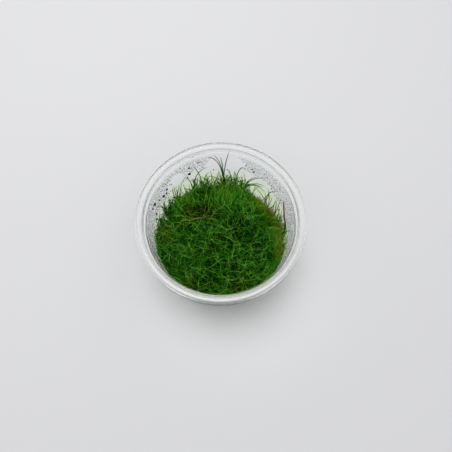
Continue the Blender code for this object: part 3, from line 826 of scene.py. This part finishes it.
# The large drops: angle, height in mm, and half how tall they are in mm
LARGE_DROPS = (
    (116.1, 43.3, 0.7), (116.8, 36.3, 1), (119.3, 32.7, 0.5), (135.7, 43.8, 0.4), (135.6, 38.7, 0.5),
    (137.3, 39.8, 0.4), (138, 44.2, 0.4), (140.7, 44.8, 0.4), (141.1, 38.3, 0.8), (142.9, 34.8, 0.7),
    (146.8, 36, 1.1), (152.3, 38, 0.7), (159.4, 42.8, 1.1), (163.6, 43.1, 0.8), (153.1, 28, 0.6),
    (162.4, 32.3, 0.8), (165, 28.6, 0.9), (108.1, 45.4, 0.5), (106.5, 45.6, 0.4), (61.4, 41.2, 0.6),
    (59.5, 39.4, 0.7), (95.1, 32.9, 0.5), (83.2, 32.7, 0.5), (46.3, 42.8, 0.4), (40.7, 37.8, 0.5),
    (39.9, 34.5, 0.5), (43, 39.5, 0.4), (37.7, 38.2, 0.4), (32.1, 44.9, 0.4),
)
LARGE_WIDTH = 1.122  # how wide they are as a share of how tall


def drop_shape():
    """One drop: half a ball, flat behind, as unit vertices and faces."""
    shape = bmesh.new()
    bmesh.ops.create_uvsphere(shape, u_segments=8, v_segments=6, radius=1.0)
    geometry = shape.verts[:] + shape.edges[:] + shape.faces[:]
    bmesh.ops.bisect_plane(shape, geom=geometry, dist=1e-6, plane_co=(0, 0, 0), plane_no=(0, 0, -1),
                           clear_outer=True)
    rim = [edge for edge in shape.edges if edge.is_boundary]
    bmesh.ops.contextual_create(shape, geom=rim)
    bmesh.ops.recalc_face_normals(shape, faces=shape.faces)
    shape.verts.index_update()
    vertices = np.array([tuple(vert.co) for vert in shape.verts])
    faces = [[vert.index for vert in face.verts] for face in shape.faces]
    shape.free()
    return vertices, faces


def scatter_drops(pitch):
    """The large drops, then a mist of fine ones: their angles, heights, half widths and half heights."""
    chance = np.random.default_rng(31)
    drops = [(angle, height, size * LARGE_WIDTH, size) for angle, height, size in LARGE_DROPS]
    for row, height in enumerate(np.arange(18.0, 53.6, pitch * 0.9)):
        for angle in np.arange(-32.0, 230.0, pitch / DEGREE) + row % 2 * pitch / DEGREE / 2:
            turn, up = angle + chance.normal(0.0, 0.3), height + chance.normal(0.0, 0.2)
            share = max((s for a, b, c, d, s in MIST if a < turn < b and c < up < d), default=0.0)
            share *= 1.0 - any(math.hypot((turn - a) * DEGREE, up - h) < r for a, h, r in BARE)
            wide = chance.uniform(0.15, 0.27)
            if chance.uniform() < share:
                drops.append((turn, up, wide, wide * chance.uniform(1.0, 1.3)))
    return np.array(drops).T


class HAIRGRASS_OT_drops(bpy.types.Operator):
    """Make the drops of condensed water on the cup's wall"""

    bl_idname = "hairgrass.drops"
    bl_label = "Condensation"

    def execute(self, context):
        settings, cup = context.scene.hairgrass_drops, context.scene.hairgrass_cup
        angle, height, wide, tall = scatter_drops(settings.pitch / MM)
        turn, up = np.radians(angle), height * MM
        above = up > cup.height - LEDGE_DROP * MM
        reach = np.where(above, cup.mouth_radius, wall_radius(up)) - 0.03 * MM
        slope = math.atan((cup.wall_top - cup.wall_foot) / MM / WALL_RISE)
        out = np.stack((np.cos(turn), np.sin(turn), np.zeros(len(turn))), axis=1)
        inward = -math.cos(slope) * out + math.sin(slope) * UP
        rising = math.sin(slope) * out + math.cos(slope) * UP
        side = np.cross(rising, inward)
        vertices, faces = drop_shape()
        middle = out * reach[:, None] + UP * up[:, None]
        x, y, z = (vertices[:, i][None, :, None] for i in range(3))
        placed = middle[:, None, :] + MM * (
            side[:, None, :] * x * wide[:, None, None]
            + rising[:, None, :] * y * tall[:, None, None]
            + inward[:, None, :] * z * (0.75 * wide)[:, None, None] * (1.0 - 0.25 * y)
        )
        loops = np.concatenate([np.array(face) for face in faces])
        places = np.stack((0.5 + 0.5 * vertices[loops, 0], 0.5 + 0.5 * vertices[loops, 1]), axis=1)
        big = len(LARGE_DROPS)
        # Clean water, without a grain: each drop is a small lens that shows the grass upside down; its dark
        # green is a painted refraction of that grass
        for name, title, shade, chosen in (
            ("large_drops", "Large drops of water", settings.large, placed[:big]),
            ("condensation", "Condensed water", settings.fine, placed[big:]),
        ):
            water = clear_material(title, shade, roughness=0.02, ior=1.333, clear=1.0,
                                   shadow=linear("F4F4F4"), bump_size=4.0 * MM, bump_height=0.002 * MM)
            finish_piece(name, joined(chosen, faces, places), water)
        return {"FINISHED"}


def young_roots(root):
    """Young roots: white flesh under a thin skin, a little yellow."""
    material, tree, place = new_material("Young roots")
    shade = add_node(tree, "TexNoise", {"Vector": place, "Scale": 1 / (2.0 * MM)})
    tone = add_node(tree, "Mix", {"Factor": shade, "A": root, "B": linear("C8BC8E")}, data_type="RGBA")
    show_skin(tree, tone, roughness=0.5)
    return material


class HAIRGRASS_OT_gel(bpy.types.Operator):
    """Make the nutrient gel and the roots in it"""

    bl_idname = "hairgrass.gel"
    bl_label = "Gel and roots"

    def execute(self, context):
        settings = context.scene.hairgrass_gel
        (_, _, floor), (_, _, top) = GEL_BOX
        gap, fillet = 0.3 * MM, 2.5 * MM
        radius, edge = float(wall_radius(FLOOR_TOP * MM)) - gap, float(wall_radius(top)) - gap
        profile = (
            [(0.0, top - 0.25 * MM), (edge - 3.0 * MM, top - 0.2 * MM), (edge - 1.0 * MM, top - 0.08 * MM)]
            + [(edge, top)]
            + arc((radius - fillet, floor + fillet), fillet, 0, -90, 6)
            + [(0.0, floor)]
        )
        # Agar gel with nutrients: a cloudy cream jelly, wet and glossy on top
        gel = clear_material("Nutrient gel", settings.gel, roughness=0.2, ior=1.34, clear=0.55,
                             shadow=linear("D8D4BC"), bump_size=5 * MM, bump_height=0.08 * MM)
        finish_piece("gel_bed", turned(profile, 96), gel, ("nutrient_gel",))
        chance, count = np.random.default_rng(5), settings.roots
        angle = chance.uniform(0, math.tau, count)
        share = np.sqrt(chance.uniform(0.2, 1, count))
        away = math.pi - chance.uniform(0.0, 0.7, count)
        azimuth = angle + chance.normal(0, 1.2, count)
        curl = chance.normal(0, 1.5, count)
        size = chance.uniform(5, 13, count) * MM
        lines = arcs(chance, azimuth, away, away - 0.9, curl, size, BLADE_SEGMENTS)
        start = share * (wall_radius(top) - 1.4 * MM)
        spot = np.stack((start * np.cos(angle), start * np.sin(angle), np.full(count, top)), axis=1)
        lines += spot[:, None, :]
        lines[..., 2] = np.clip(lines[..., 2], floor + 0.6 * MM, top - 0.35 * MM)
        radius = tapering(np.full(count, 0.13 * MM), BLADE_SEGMENTS + 1)
        nothing = np.zeros(count)
        mesh = bent_blades(inside_wall(lines, 0.8 * MM), radius, nothing, nothing)
        finish_piece("roots", mesh, young_roots(settings.root))
        return {"FINISHED"}


def straw():
    """Dried blades: pale straw that has lost its wax, duller than the green ones."""
    material, tree, place = new_material("Dry blades")
    light = shares_and_painted_light_of(tree)["Green"]
    blotch = add_node(tree, "TexNoise", {"Vector": place, "Scale": 1 / (1.2 * MM)})
    level = add_node(tree, "Math", {0: light, 1: 0.6, 2: blotch}, operation="MULTIPLY_ADD", use_clamp=True)
    tone = add_node(tree, "Mix", {"Factor": level, "A": linear("3A3C12"), "B": linear("A4AC64")},
                    data_type="RGBA")
    show_skin(tree, tone, roughness=0.65)
    return material


class HAIRGRASS_OT_turf(bpy.types.Operator):
    """Make the mat of grass: its shaded heart and its blades"""

    bl_idname = "hairgrass.turf"
    bl_label = "Mat of grass"

    def execute(self, context):
        grass = context.scene.hairgrass_grass
        living = grass_material("Hairgrass blades", grass.deep, grass.bright)
        chance = np.random.default_rng(7)
        make_core()
        lines, radius, age, light, taper = grow_mat(chance)
        x, y = lines[:, 0, 0], lines[:, 0, 1]
        by_wall = np.hypot(x, y) > turf_radius(np.arctan2(y, x), 24 * MM) - 4.0 * MM
        behind = y >= np.median(y[~by_wall])
        parts = {"front": ~by_wall & ~behind, "back": ~by_wall & behind, "by_the_wall": by_wall}
        for part, there in parts.items():
            for hand, chosen in (("left", there & (x <= 0)), ("right", there & (x > 0))):
                name, picked, stem, foot_light = f"grass_{part}_{hand}", lines[chosen], 0, 0.0
                if part == "by_the_wall":
                    picked, stem, foot_light = with_stems(picked, chance), STEM_SEGMENTS, 0.25
                radii = tapering(radius[chosen], picked.shape[1], stem, taper[chosen])
                mesh = bent_blades(picked, radii, age[chosen], light[chosen], foot_light)
                finish_piece(name, mesh, living, ("turf",))
        self.make_dry_blades(chance)
        return {"FINISHED"}

    def make_dry_blades(self, chance):
        """The dried blades that lie on the mat."""
        share = np.linspace(0.0, 1.0, LONG_BLADE_POINTS)[:, None]
        lines = []
        for start_x, start_y, end_x, end_y, height, arch in DRY_BLADES:
            flat = np.array((start_x, start_y)) * (1 - share) + np.array((end_x, end_y)) * share
            rise = height + arch * 4 * share * (1 - share) + 0.35 * np.sin(share * 9.0 + start_x)
            side = 0.5 * np.sin(share * 7.0 + start_y)
            lines.append(np.hstack((flat[:, :1], flat[:, 1:] + side, rise)) * MM)
        lines = inside_wall(np.array(lines), 0.5 * MM)
        radius = np.where(np.arange(len(lines)) < 2, 0.13, 0.1) * MM
        shade = chance.uniform(0.1, 0.9, len(lines))
        mesh = bent_blades(lines, tapering(radius, LONG_BLADE_POINTS), shade, shade)
        finish_piece("dry_blades", mesh, straw(), ("turf",))


# The plantlets behind the mat, near where the CAD has them: an angle and how far in from the wall, then
# the tips of their blades as an angle, how far in, a height and an arch, in degrees and millimetres
PLANTLETS = {
    "plantlet_tall_back": (86.3, 2.2, ((100, 1, 51, 0), (95, 0.9, 53, -8), (89, 0.9, 50, -12),
                                       (82, -0.8, 54.4, -16), (71, 3.9, 27.5, 8))),
    "plantlet_back_left": (106.5, 1.5, ((113, 0.7, 45, -10), (100, 1.7, 33, -4))),
    "plantlet_left_of_back": (116, 1.5, ((101.5, 2.4, 41.5, -5), (111.5, 1, 30, -4), (121, 0.7, 36, -6))),
    "plantlet_back_right": (75, 1.6, ((76.8, 1.2, 35, -6), (68.8, 0.9, 42, -2), (73, 1.2, 35, -6))),
    "plantlet_arching": (66, 3.6, ((53.7, 1, 38.5, -5), (47.2, 1, 42.4, -9), (45.5, 1.5, 34.2, -4),
                                   (47, 2, 32, -4), (42.5, 2, 28, 8))),
    "plantlet_right_of_back": (41, 2, ((34.5, 0.8, 37, -2), (38, 2.6, 31, -4))),
    "plantlet_right": (24, 2.4, ((26, 0.7, 41, -8), (29, 1.6, 32, -6))),
    "plantlet_left": (136, 1.8, ((134, 0.7, 36.5, -8), (128, 0.8, 32, -6), (143, 0.8, 30, -4))),
    "plantlet_far_left": (152, 1.4, ((160, 0.7, 38, 0), (148, 0.8, 31, 2))),
}
# Other blades that reach from the mat's edge to the wall, in the same terms
EDGE_BLADES = {
    "edge_blades_right": (-1, 3.6, ((-3.2, 0.2, 37, -2), (3, 0.7, 31, 2))),
    "edge_blades_front_right": (-13, 2.6, ((-10, 0.3, 31, 1), (-19.5, 0.4, 35, -1))),
    "edge_blades_left": (172, 1.8, ((166, 0.7, 33, 0), (177, 0.8, 30, 2))),
}
# How many shorter blades stand round the tall ones, where it isn't four
FILLERS = {"plantlet_tall_back": 20, "plantlet_arching": 9, "plantlet_back_right": 9, "plantlet_back_left": 7,
           "plantlet_left_of_back": 7, "plantlet_right_of_back": 2, "plantlet_right": 2}


def bow(start, bend, end, share):
    """The value at a share of the way along a bow from start to end, drawn towards bend."""
    return start * (1 - share) ** 2 + bend * 2 * share * (1 - share) + end * share**2


def by_the_wall(angle, inset, height):
    """Points at angles in degrees round the cup, this far in from the wall, at heights."""
    turn = np.radians(angle)
    reach = wall_radius(height) - inset
    return np.stack((reach * np.cos(turn), reach * np.sin(turn), height), axis=-1)


class HAIRGRASS_OT_plantlets(bpy.types.Operator):
    """Make the plantlets with longer blades behind the mat"""

    bl_idname = "hairgrass.plantlets"
    bl_label = "Plantlets behind the mat"

    def execute(self, context):
        grass = context.scene.hairgrass_grass
        # Their deep and bright greens are the blades painted in shade and in light
        tall = grass_material("Tall hairgrass blades", linear("0C2A05"), linear("42881A"))
        chance = np.random.default_rng(19)
        share = np.linspace(0.0, 1.0, LONG_BLADE_POINTS)
        ground = GEL_TOP + 1.8 * MM
        for name, (angle, inset, tips) in (PLANTLETS | EDGE_BLADES).items():
            blades = []
            for tip in tips:
                blades.append((angle + chance.uniform(-0.6, 0.6), inset + chance.uniform(-0.3, 0.3), *tip))
            for _ in range(FILLERS.get(name, 4)):
                height = chance.uniform(22, 33)
                foot = angle + chance.uniform(-2.6, 2.6), inset + chance.uniform(-0.5, 1.2)
                blades.append((*foot, angle + chance.normal(0, 7.0), chance.uniform(0.8, 4.0), height, -4))
            foot, foot_in, tip, tip_in, height, arch = np.array(blades).T[:, :, None]
            lines = by_the_wall(bow(foot, foot, tip, share), bow(foot_in, foot_in, tip_in, share) * MM,
                                bow(ground, (height + arch) * MM, height * MM, share))
            radius = grass.blade_radius * chance.uniform(1.4, 1.65, len(lines))
            radius[: len(tips)] *= 1.2
            radii = tapering(radius, LONG_BLADE_POINTS, power=7.0)
            age, light = np.full(len(lines), 0.12), chance.uniform(0.1, 0.8, len(lines))
            mesh = bent_blades(lines, radii, age, light, foot_light=0.72)
            finish_piece(name + "_blades", mesh, tall, (name,) if name in PLANTLETS else ())
        return {"FINISHED"}


# The dead leaf's line on the wall: shares of its length, angles in degrees and heights in millimetres
LEAF_SHARES = (0.0, 0.25, 0.5, 0.75, 1.0)
LEAF_ANGLES = (-3.0, 2.9, 9.3, 15.5, 21.5)
LEAF_HEIGHTS = (16.0, 28.2, 31.8, 36.0, 42.2)


def dead_leaf():
    """A dead leaf, soaked and browned: dark red brown, partly painted shade, and a dull pink along one edge
    where it is thin, partly painted light.
    """
    material, tree, place = new_material("Dead leaf")
    across, along, _ = shares_and_painted_light_of(tree)
    blotch = add_node(tree, "TexNoise", {"Vector": place, "Scale": 1 / (2.5 * MM), "Detail": 3.0})
    tone = add_node(tree, "Mix", {"Factor": blotch, "A": linear("120705"), "B": linear("3E1A10")},
                    data_type="RGBA")
    # The pink strip along one edge is partly the thin leaf's own colour and partly painted light; the dark
    # rest is partly painted shade
    thin = add_node(tree, "MapRange", {"Value": across, "From Min": 0.36, "From Max": 0.5})
    upper = add_node(tree, "MapRange", {"Value": along, "From Min": 0.4, "From Max": 0.6})
    pink = add_node(tree, "Math", {0: thin, 1: upper}, operation="MULTIPLY")
    tone = add_node(tree, "Mix", {"Factor": pink, "A": tone, "B": linear("F6DCD2")}, data_type="RGBA")
    show_skin(tree, tone, roughness=0.6, grain=blotch, relief=0.1 * MM)
    return material


class HAIRGRASS_OT_dead_leaf(bpy.types.Operator):
    """Make the dead leaf that leans on the wall"""

    bl_idname = "hairgrass.dead_leaf"
    bl_label = "Dead leaf"

    def execute(self, context):
        shape = bmesh.new()
        bmesh.ops.create_grid(shape, x_segments=4, y_segments=40, size=1.0)
        shares_and_painted_light = shape.verts.layers.float_color.new("shares_and_painted_light")
        for vert in shape.verts:
            side, share = vert.co.x, (vert.co.y + 1) / 2
            vert[shares_and_painted_light] = (0.5 - 0.5 * side, share, 0.0, 1.0)
            angle = float(np.interp(share, LEAF_SHARES, LEAF_ANGLES)) + 0.3 * math.sin(share * 9.0)
            inset = (1.15 - 0.45 * share + 0.22 * side * side) * MM
            height = float(np.interp(share, LEAF_SHARES, LEAF_HEIGHTS)) * MM
            half = 0.9 * MM * (0.6 + 0.6 * smooth_step((share - 0.3) / 0.4))
            half *= (1.0 - 0.75 * share**3) * (1 + 0.15 * math.sin(share * 23.0))
            twist = 1.3 * float(smooth_step(share * 2.5)) * (1.0 - 0.15 * share) + 0.2 * math.sin(share * 9.0)
            curled = inset + half * (side + 0.4) * math.sin(twist)
            middle = by_the_wall(np.array(angle), curled, np.array(height))
            turn = math.radians(angle)
            flat = Vector((-math.sin(turn), math.cos(turn), -0.25))
            vert.co = Vector(middle) + flat * side * half * math.cos(twist)
        bmesh.ops.recalc_face_normals(shape, faces=shape.faces)
        bmesh.ops.solidify(shape, geom=shape.faces[:], thickness=0.12 * MM)
        finish_piece("curled_dead_leaf", mesh_from(shape), dead_leaf(), ("dead_leaf",))
        return {"FINISHED"}


# Where the camera and the soft box stand and what each faces, in metres
CAMERA_PLACE, CAMERA_AIM = (0.0, -0.1269, 0.4057), (0.003, -0.00422, 0.055)
LAMP_PLACE, LAMP_AIM = (-0.1, 0.24, 0.57), (0.0, 0.0, 0.02)
# The photo's width, and the focal length that its perspective gives, in pixels
PHOTO_WIDTH, FOCAL_LENGTH = 452, 643


def paper(tone):
    """Matt paper: even and without a gloss, with a faint grain."""
    material, tree, place = new_material("Matt paper")
    grain = add_node(tree, "TexNoise", {"Vector": place, "Scale": 1 / (0.5 * MM)})
    show_skin(tree, tone, roughness=0.9, grain=grain, relief=0.02 * MM, strength=0.1)
    return material


def light_room(strength):
    """Light from all round: white above, and a cool grey towards the floor."""
    world = bpy.context.scene.world = bpy.data.worlds.new("Room")
    tree = empty_tree(world)
    way = add_node(tree, "SeparateXYZ", {"Vector": add_node(tree, "TexCoord").outputs["Generated"]})
    rise = add_node(tree, "MapRange", {"Value": way.outputs["Z"], "From Max": 0.8, "To Min": 0.25},
                    interpolation_type="SMOOTHSTEP")
    tone = add_node(tree, "Mix", {"Factor": rise, "A": linear("C4C8CE"), "B": linear("FFFFFF")},
                    data_type="RGBA")
    sky = add_node(tree, "Background", {"Color": tone, "Strength": strength})
    add_node(tree, "OutputWorld", {"Surface": sky})


def aimed(name, data, place, target):
    """A lamp or a camera in the scene, at its place and facing its target."""
    thing = in_scene(name, data)
    thing.location = place
    thing.rotation_euler = (Vector(target) - thing.location).to_track_quat("-Z", "Y").to_euler()
    return thing


class HAIRGRASS_OT_stage(bpy.types.Operator):
    """Make the pale floor, the light and the camera"""

    bl_idname = "hairgrass.stage"
    bl_label = "Floor, light and camera"

    def execute(self, context):
        settings = context.scene.hairgrass_stage
        shape = bmesh.new()
        bmesh.ops.create_grid(shape, x_segments=1, y_segments=1, size=1.5)
        mesh = bpy.data.meshes.new("floor")
        shape.to_mesh(mesh)
        shape.free()
        mesh.materials.append(paper(settings.floor))
        in_scene("floor", mesh)

        light_room(settings.sky)
        lamp = bpy.data.lights.new("Soft box", "AREA")
        lamp.shape, lamp.size, lamp.size_y = "RECTANGLE", 0.6, 0.5
        lamp.energy = settings.lamp
        aimed("Soft box", lamp, LAMP_PLACE, LAMP_AIM)

        lens = bpy.data.cameras.new("Camera")
        lens.sensor_width = 36.0
        lens.lens = lens.sensor_width * FOCAL_LENGTH / PHOTO_WIDTH
        context.scene.camera = aimed("Camera", lens, CAMERA_PLACE, CAMERA_AIM)
        context.scene.view_settings.view_transform = "Standard"
        return {"FINISHED"}


class HAIRGRASS_PT_sidebar(bpy.types.Panel):
    """Lists the pieces of the cup of hairgrass"""

    bl_idname = "HAIRGRASS_PT_sidebar"
    bl_label = "Hairgrass in a cup"
    bl_space_type = "VIEW_3D"
    bl_region_type = "UI"
    bl_category = "Hairgrass"

    def draw(self, context):
        for operator, group in STEPS:
            self.layout.operator(operator.bl_idname)
            if group:
                settings = getattr(context.scene, group)
                for name in settings.__annotations__:
                    self.layout.prop(settings, name)


GROUPS = {
    "hairgrass_cup": CupSettings,
    "hairgrass_drops": DropSettings,
    "hairgrass_gel": GelSettings,
    "hairgrass_grass": GrassSettings,
    "hairgrass_stage": StageSettings,
}
STEPS = (
    (HAIRGRASS_OT_cup, "hairgrass_cup"),
    (HAIRGRASS_OT_drops, "hairgrass_drops"),
    (HAIRGRASS_OT_gel, "hairgrass_gel"),
    (HAIRGRASS_OT_turf, "hairgrass_grass"),
    (HAIRGRASS_OT_plantlets, None),
    (HAIRGRASS_OT_dead_leaf, None),
    (HAIRGRASS_OT_stage, "hairgrass_stage"),
)


def register():
    """Tells Blender of the settings, the steps and the panel."""
    for settings in GROUPS.values():
        bpy.utils.register_class(settings)
    for operator, _ in STEPS:
        bpy.utils.register_class(operator)
    bpy.utils.register_class(HAIRGRASS_PT_sidebar)
    for name, settings in GROUPS.items():
        setattr(bpy.types.Scene, name, PointerProperty(type=settings))


def unregister():
    """Takes them away again."""
    for name in GROUPS:
        delattr(bpy.types.Scene, name)
    bpy.utils.unregister_class(HAIRGRASS_PT_sidebar)
    for operator, _ in reversed(STEPS):
        bpy.utils.unregister_class(operator)
    for settings in reversed(GROUPS.values()):
        bpy.utils.unregister_class(settings)


def main():
    """Makes every piece in turn."""
    register()
    for operator, _ in STEPS:
        group, step = operator.bl_idname.split(".")
        getattr(getattr(bpy.ops, group), step)()


if __name__ == "__main__":
    main()
